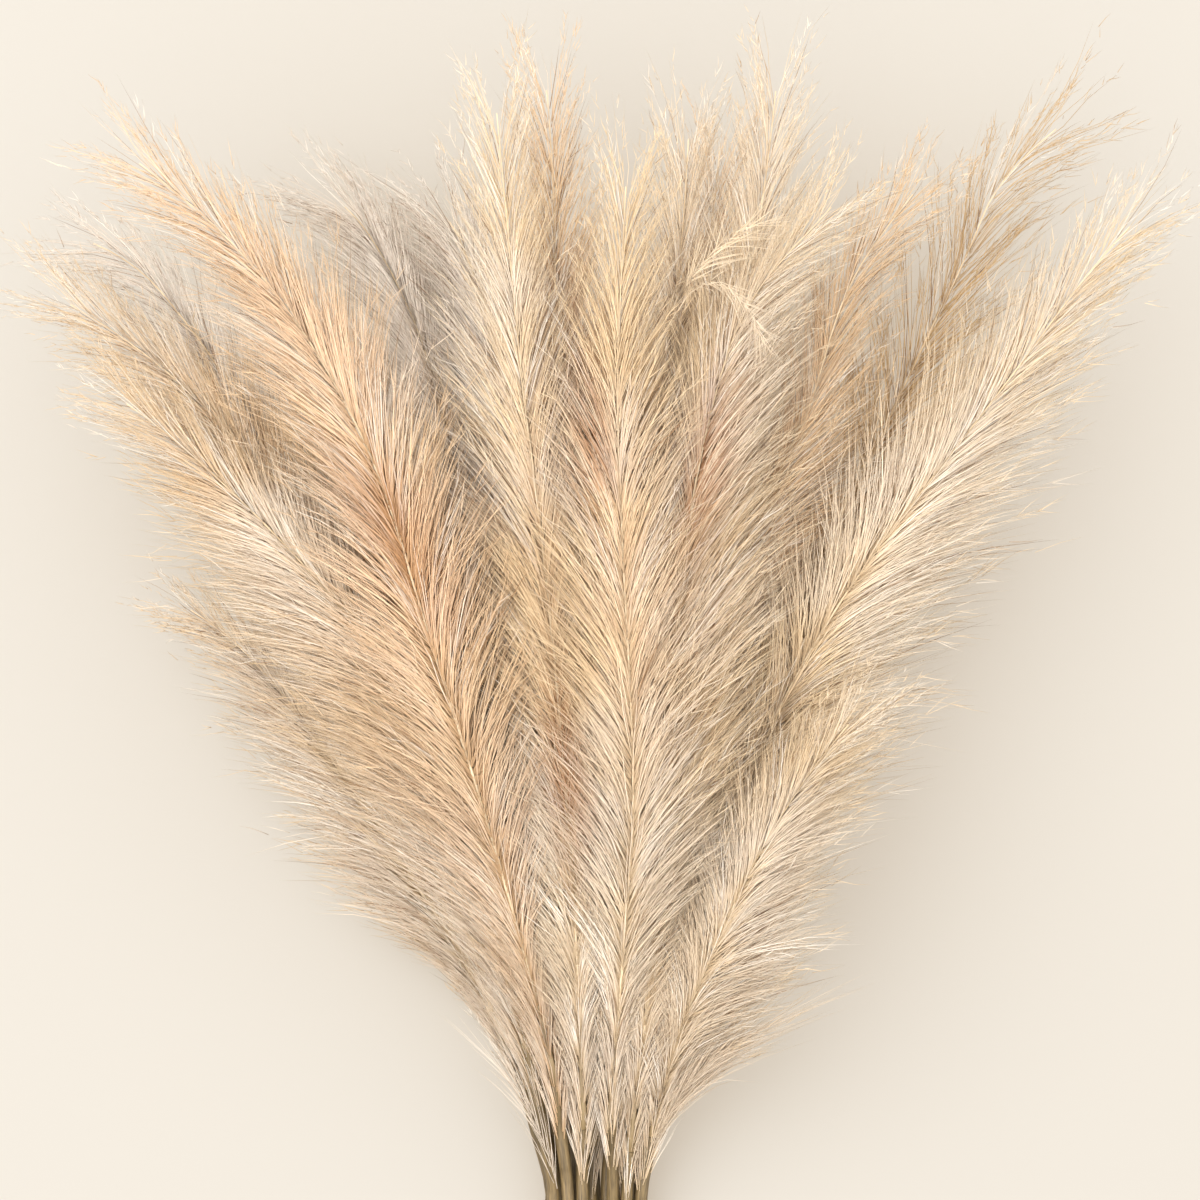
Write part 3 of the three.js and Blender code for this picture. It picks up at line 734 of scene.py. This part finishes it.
# Loose sprays that have flopped over the plumes, or that leave a foot to the side, each round its route.
wispHair = {"points": 60, "until": 0.8, "radius": 0.2, "tipRadius": 0.06, "shortest": 0.5, "aside": 0.5,
            "leastLean": 0.1, "wave": 1.2, "waveAtRoot": 0.5, "alongFrom": 0.35, "shade": 0.5,
            "shadeUneven": 0.12}
wisps = [
    {"plume": 17, "hairs": 60, "length": 38, "opening": 1.0, "pale": 0.25,
     "route": [(42, 154, 150), (54, 168, 156), (69, 180, 157), (84, 188, 152)]},
    {"plume": 17, "hairs": 60, "length": 30, "opening": 1.1, "pale": 0.25,
     "route": [(46, 155, 151), (60, 154, 157), (72, 142, 156), (84, 116, 148)]},
    {"plume": 13, "hairs": 50, "length": 60, "opening": 0.4, "pale": 0.6,
     "route": [(-22, -301, 30), (-29, -275, 38), (-40, -250, 48), (-56, -226, 58)]},
    {"plume": 18, "hairs": 110, "length": 85, "opening": 0.45, "pale": 0.2,
     "route": [(27, -276, 42), (38, -254, 55), (56, -232, 66), (84, -210, 72)]},
]


def growWisp(wisp, random):
    axis = Axis(smoothLine(wisp["route"], wispHair["points"]))
    count = wisp["hairs"]
    share = random.uniform(0, wispHair["until"], count)
    turn = math.pi * np.where(random.uniform(0, 1, count) < 0.5, 0.5, 1.5)
    turn += random.normal(0, wispHair["aside"], count)
    length = wisp["length"] * random.uniform(wispHair["shortest"], 1, count)
    leaning = wisp["opening"] * random.uniform(wispHair["leastLean"], 1, count)
    s = np.linspace(0, 1, longHair["steps"] + 1)
    lines = branchLines(axis, share, waysOut(axis, share, turn), length, leaning, np.zeros(count), s)
    lines += random.normal(0, wispHair["wave"], (count, 1, 3)) * (wispHair["waveAtRoot"] + s[None, :, None])
    radii = np.repeat(mix(wispHair["radius"], wispHair["tipRadius"], s)[None], count, axis=0)
    along = np.broadcast_to(mix(wispHair["alongFrom"], 1, s), radii.shape)
    shade = random.normal(wispHair["shade"], wispHair["shadeUneven"], count)
    return {"lines": lines, "radii": radii, "along": along, "shade": shade,
            "pale": np.full(count, wisp["pale"])}


# Painted warm shade for the deep gaps between plumes: places seen from above, their sizes across and along,
# and how far they turn.
paintedWarmShadeSpots = [
    {"at": (-97, 28), "size": (20, 60), "turn": 0.5, "most": 0.75},
    {"at": (-17, -82), "size": (11, 55), "turn": 0.12, "most": 1.0},
    {"at": (-5, 75), "size": (13, 55), "turn": 0.05, "most": 1.0},
    {"at": (52, 62), "size": (14, 55), "turn": -0.2, "most": 1.0},
    {"at": (-140, 110), "size": (30, 90), "turn": 0.7, "most": 0.15},
    {"at": (10, 20), "size": (85, 120), "turn": 0, "most": 0.4},
]


# The hairs in them that are darker than the others take the most of this painted shade, the most at their
# roots.
paintedWarmShadeHair = {"below": 0.72, "steep": 4.5, "least": 0.2, "fade": 0.3}


def paintedWarmShadeAt(points):
    paintedWarmShade = np.zeros(len(points))
    for spot in paintedWarmShadeSpots:
        x, y = points[:, 0] - spot["at"][0], points[:, 1] - spot["at"][1]
        across = x * math.cos(spot["turn"]) + y * math.sin(spot["turn"])
        along = y * math.cos(spot["turn"]) - x * math.sin(spot["turn"])
        near = np.exp(-(across / spot["size"][0]) ** 2 - (along / spot["size"][1]) ** 2)
        paintedWarmShade = np.maximum(paintedWarmShade, spot["most"] * near)
    return paintedWarmShade


edges = {"floorGap": 0.36, "margin": 0.03, "give": 0.4}


# Hairs lie on the surface rather than in it, and those that reach the box's sides bend along them.
def settle(points):
    high = np.array(cadHigh) / mm + middle
    low = np.array(cadLow) / mm + middle
    allowed = edges["give"] * edges["margin"] * (high - low)
    past = np.maximum(points - high, 0)
    points = np.where(past > 0, high + allowed * (1 - np.exp(-past / allowed)), points)
    past = np.maximum(low - points, 0)
    points = np.where(past > 0, low - allowed * (1 - np.exp(-past / allowed)), points)
    points[..., 2] = np.maximum(points[..., 2], edges["floorGap"])
    return points


templates = {steps: strandTemplate(steps) for steps in (longHair["steps"], sideHair["steps"])}
seeds = {"plumes": 500, "culms": 900}


# All the hairs of a plume as one piece.
def makePlume(i):
    random = np.random.default_rng(seeds["plumes"] + i)
    locks = layLocks(i, random)
    grown = [(growLongHairs(i, locks, random), longHair["steps"])]
    grown += [(growSideHairs(i, locks, random), sideHair["steps"])]
    grown += [(growWisp(wisp, random), longHair["steps"]) for wisp in wisps if wisp["plume"] == i + 1]
    made = {"corners": [], "faces": [], "along": [], "shade": [], "pale": []}
    total = 0
    for hairs, steps in grown:
        template = templates[steps]
        corners, faces = layStrands(template, settle(hairs["lines"]), hairs["radii"], random)
        made["corners"].append(corners)
        made["faces"].append(faces + total)
        made["along"].append(hairs["along"][:, template["ring"]].ravel())
        made["shade"].append(np.repeat(hairs["shade"], len(template["ring"])))
        made["pale"].append(np.repeat(hairs["pale"], len(template["ring"])))
        total += len(corners)
    corners = np.vstack(made["corners"])
    number = "%02d" % (i + 1)
    mesh = meshFromArrays("plumeHairs_" + number, inFrame(corners), np.vstack(made["faces"]))
    for key in ("along", "shade", "pale"):
        giveAttribute(mesh, key, np.clip(np.concatenate(made[key]), 0, 1))
    # Darker hairs in the spots take more of the painted warm shade, less towards their tips.
    paintedWarmShadeShare = paintedWarmShadeHair["steep"] * (paintedWarmShadeHair["below"] - np.concatenate(made["shade"]))
    paintedWarmShadeShare = np.clip(paintedWarmShadeShare, paintedWarmShadeHair["least"], 1) * (1 - paintedWarmShadeHair["fade"] * np.concatenate(made["along"]))
    giveAttribute(mesh, "paintedWarmShade", paintedWarmShadeAt(corners) * paintedWarmShadeShare)
    tint = stalks[i]["tint"]
    hair = hairMaterials[stalks[i].get("hue", tint)]
    addPiece("plumeHairs_" + number, mesh, hair, "plume_" + number)
    return len(mesh.polygons)


rachisRod = {"sides": 8, "step": 9.0, "slim": 1.1, "tip": 0.3, "slimAt": 0.06, "end": 0.92}


# The stem inside a plume goes on from the culm and soon gets slimmer.
def makeRachis(i):
    axis = axes[i]
    t = np.linspace(0, 1, int(axis.length * (1 - axis.foot) / rachisRod["step"]))
    shares = mix(axis.foot, 1, t * rachisRod["end"])
    past = (t - rachisRod["slimAt"]) / (1 - rachisRod["slimAt"])
    narrowing = mix(culmRod["radius"], rachisRod["slim"], ease(t / rachisRod["slimAt"]))
    radii = np.where(t < rachisRod["slimAt"], narrowing, mix(rachisRod["slim"], rachisRod["tip"], past))
    rings = ringsRound(axis, shares, radii, rachisRod["sides"])
    name = "rachis_%02d" % (i + 1)
    mesh = rodMesh(name, inFrame(rings), {"share": t})
    addPiece(name, mesh, materials["rachis"], "plume_%02d" % (i + 1))
    return len(mesh.polygons)


culmFaces = [makeCulm(i, np.random.default_rng(seeds["culms"] + i)) for i in range(len(stalks))]
print("culms made, faces:", sum(culmFaces))
hairFaces = [makePlume(i) for i in range(len(stalks))]
print("plumes made, triangles:", sum(hairFaces), "most in one:", max(hairFaces))
rachisFaces = [makeRachis(i) for i in range(len(stalks))]
print("rachises made, faces:", sum(rachisFaces))


studio = {"floorSize": 12.0, "floor": "8b8f91", "floorRoughness": 0.9, "glow": "f5d9b5", "glowStrength": 0.4,
          "sky": "fffdf9", "skyStrength": 1.75, "keyPower": 55.0, "keySize": 2.6,
          "keyFrom": (-1.3, 1.3, 2.6), "keyTint": "fffaf3"}


def makeFloor():
    bm = bmesh.new()
    bmesh.ops.create_grid(bm, x_segments=1, y_segments=1, size=studio["floorSize"] / 2)
    mesh = bpy.data.meshes.new("floor")
    bm.to_mesh(mesh)
    bm.free()
    floor = bpy.data.objects.new("floor", mesh)
    bpy.context.scene.collection.objects.link(floor)
    material, tree, shader = newMaterial("floor")
    shader.inputs["Base Color"].default_value = tone(studio["floor"])
    shader.inputs["Roughness"].default_value = studio["floorRoughness"]
    shader.inputs["Emission Color"].default_value = tone(studio["glow"])
    shader.inputs["Emission Strength"].default_value = studio["glowStrength"]
    mesh.materials.append(material)


def lightStudio():
    world = bpy.data.worlds.new("studio")
    bpy.context.scene.world = world
    world.use_nodes = True
    sky = world.node_tree.nodes["Background"]
    sky.inputs["Color"].default_value = tone(studio["sky"])
    sky.inputs["Strength"].default_value = studio["skyStrength"]
    key = bpy.data.lights.new("key", "AREA")
    key.energy = studio["keyPower"]
    key.size = studio["keySize"]
    key.color = tone(studio["keyTint"])[:3]
    lamp = bpy.data.objects.new("key", key)
    lamp.location = studio["keyFrom"]
    lamp.rotation_euler = (-Vector(studio["keyFrom"])).to_track_quat("-Z", "Y").to_euler()
    bpy.context.scene.collection.objects.link(lamp)


view = {"width": 600.0, "distance": 3000.0, "height": 85.0, "sensor": 36.0, "clipEnd": 50}


# The camera looks straight down, and the picture's middle is the point that the routes start from.
def placeCamera():
    camera = bpy.data.cameras.new("camera")
    camera.sensor_width = view["sensor"]
    camera.lens = view["sensor"] * view["distance"] / view["width"]
    camera.clip_end = view["clipEnd"]
    holder = bpy.data.objects.new("camera", camera)
    centre = inFrame(np.array([0, 0, view["height"]]))
    holder.location = (centre[0], centre[1], (view["height"] + view["distance"]) * mm)
    bpy.context.scene.collection.objects.link(holder)
    bpy.context.scene.camera = holder


makeFloor()
lightStudio()
placeCamera()
bpy.context.scene.view_settings.view_transform = "Standard"
bpy.context.view_layer.update()
print("studio set")
